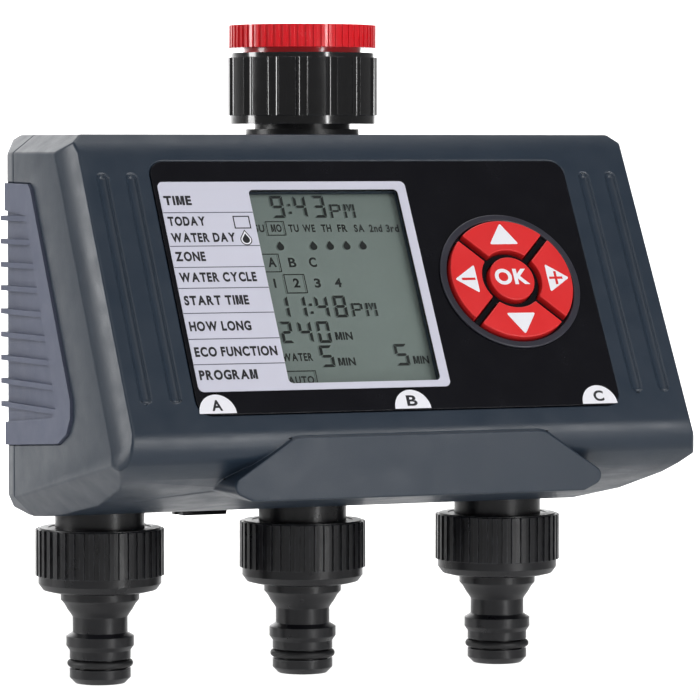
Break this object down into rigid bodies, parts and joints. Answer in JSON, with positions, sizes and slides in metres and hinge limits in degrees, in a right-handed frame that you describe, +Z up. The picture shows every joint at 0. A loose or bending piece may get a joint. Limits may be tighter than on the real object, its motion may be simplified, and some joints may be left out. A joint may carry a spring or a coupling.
{
  "type": "irrigation controller",
  "caption": "Battery irrigation controller that hangs from a garden tap, with a sloping display face, a round keypad and outlets for click-on hoses.",
  "frame": {"origin": "centre of the tap thread's mouth, at the top of the red adapter", "axes": "+Z up along the inlet, -Y towards the sloping display face, +X to the right seen from the front"},
  "size_m": [0.1606, 0.1103, 0.1689],
  "materials": {
    "adapter": "gloss",
    "black_nylon": "glass-filled nylon",
    "board": "solder mask",
    "button": "satin silicone",
    "cell": "plain sleeve",
    "chip": "moulded",
    "coil": "wound copper under tape",
    "collar": "gloss",
    "connector": "satin moulded",
    "contact_metal": "plated spring steel",
    "fascia": "semi-gloss",
    "filter": "fine mesh",
    "grip": "matte soft-touch",
    "housing": "satin moulded",
    "label": "printed film",
    "lcd": "liquid crystal glass",
    "lens": "clear",
    "pink_rubber": "matte",
    "plunger_steel": "ground",
    "ring": "satin",
    "screw_steel": "machined",
    "seal_rubber": "matte",
    "switch_metal": "stamped",
    "white_plastic": "matte"
  },
  "bodies": {
    "housing": {"front_housing": "housing", "rear_housing": "housing", "housing_gasket": "seal_rubber", "housing_screws": "screw_steel", "left_grip": "grip", "right_grip": "grip", "fascia_panel": "fascia", "display_label": "label", "display_window": "lens", "display_holder": "white_plastic", "display_glass": "lcd", "display_backlight": "white_plastic", "display_connector": "pink_rubber", "keypad_ring": "ring", "keypad_mat": "seal_rubber", "circuit_board": "board", "board_components": "chip", "tact_switches": "switch_metal", "board_screws": "screw_steel", "manifold": "black_nylon", "manifold_screws": "screw_steel", "diaphragms": "seal_rubber", "bonnet_a": "black_nylon", "bonnet_b": "black_nylon", "bonnet_c": "black_nylon", "bonnet_screws": "screw_steel", "coil_a": "coil", "coil_b": "coil", "coil_c": "coil", "inlet_washer": "seal_rubber", "outlet_washers": "seal_rubber", "battery_holder": "black_nylon", "battery_contacts": "contact_metal", "battery_cells": "cell"},
    "button_up": {"button_up": "button"},
    "button_down": {"button_down": "button"},
    "button_left": {"button_left": "button"},
    "button_right": {"button_right": "button"},
    "button_ok": {"button_ok": "button"},
    "plunger_a": {"plunger_a": "plunger_steel", "plunger_spring_a": "plunger_steel"},
    "plunger_b": {"plunger_b": "plunger_steel", "plunger_spring_b": "plunger_steel"},
    "plunger_c": {"plunger_c": "plunger_steel", "plunger_spring_c": "plunger_steel"},
    "inlet_collar": {"inlet_collar": "collar"},
    "inlet_adapter": {"inlet_adapter": "adapter", "inlet_filter": "filter"},
    "outlet_connector_a": {"outlet_connector_a": "connector", "o_ring_a": "seal_rubber"},
    "outlet_connector_b": {"outlet_connector_b": "connector", "o_ring_b": "seal_rubber"},
    "outlet_connector_c": {"outlet_connector_c": "connector", "o_ring_c": "seal_rubber"},
    "battery_door": {"battery_door": "housing", "battery_door_seal": "seal_rubber"},
    "battery_latch": {"battery_latch": "black_nylon"}
  },
  "joints": [
    {"name": "up_button_press", "type": "slide", "parent": "housing", "child": "button_up", "axis": [0, 0.866, -0.5], "range_m": [0, 0.0008], "stiffness_N_per_m": 1500},
    {"name": "down_button_press", "type": "slide", "parent": "housing", "child": "button_down", "axis": [0, 0.866, -0.5], "range_m": [0, 0.0008], "stiffness_N_per_m": 1500},
    {"name": "left_button_press", "type": "slide", "parent": "housing", "child": "button_left", "axis": [0, 0.866, -0.5], "range_m": [0, 0.0008], "stiffness_N_per_m": 1500},
    {"name": "right_button_press", "type": "slide", "parent": "housing", "child": "button_right", "axis": [0, 0.866, -0.5], "range_m": [0, 0.0008], "stiffness_N_per_m": 1500},
    {"name": "ok_button_press", "type": "slide", "parent": "housing", "child": "button_ok", "axis": [0, 0.866, -0.5], "range_m": [0, 0.0008], "stiffness_N_per_m": 1500},
    {"name": "valve_a_plunger_lift", "type": "slide", "parent": "housing", "child": "plunger_a", "axis": [0, -1, 0], "range_m": [0, 0.0015], "stiffness_N_per_m": 250},
    {"name": "valve_b_plunger_lift", "type": "slide", "parent": "housing", "child": "plunger_b", "axis": [0, -1, 0], "range_m": [0, 0.0015], "stiffness_N_per_m": 250},
    {"name": "valve_c_plunger_lift", "type": "slide", "parent": "housing", "child": "plunger_c", "axis": [0, -1, 0], "range_m": [0, 0.0015], "stiffness_N_per_m": 250},
    {"name": "inlet_collar_swivel", "type": "hinge", "parent": "housing", "child": "inlet_collar", "pos_m": [0, 0, -0.0164], "axis": [0, 0, 1], "continuous": true},
    {"name": "inlet_adapter_turn", "type": "hinge", "parent": "inlet_collar", "child": "inlet_adapter", "pos_m": [0, 0, -0.01], "axis": [0, 0, 1], "continuous": true},
    {"name": "outlet_connector_a_turn", "type": "hinge", "parent": "housing", "child": "outlet_connector_a", "pos_m": [-0.0562, 0, -0.145], "axis": [0, 0, 1], "continuous": true},
    {"name": "outlet_connector_b_turn", "type": "hinge", "parent": "housing", "child": "outlet_connector_b", "pos_m": [0, 0, -0.145], "axis": [0, 0, 1], "continuous": true},
    {"name": "outlet_connector_c_turn", "type": "hinge", "parent": "housing", "child": "outlet_connector_c", "pos_m": [0.0562, 0, -0.145], "axis": [0, 0, 1], "continuous": true},
    {"name": "battery_door_hinge", "type": "hinge", "parent": "housing", "child": "battery_door", "pos_m": [-0.017, 0.0286, -0.0575], "axis": [1, 0, 0], "range_deg": [0, 110]},
    {"name": "battery_latch_swing", "type": "hinge", "parent": "battery_door", "child": "battery_latch", "pos_m": [-0.017, 0.0319, -0.1095], "axis": [1, 0, 0], "range_deg": [0, 30], "stiffness_Nm_per_rad": 0.03}
  ]
}
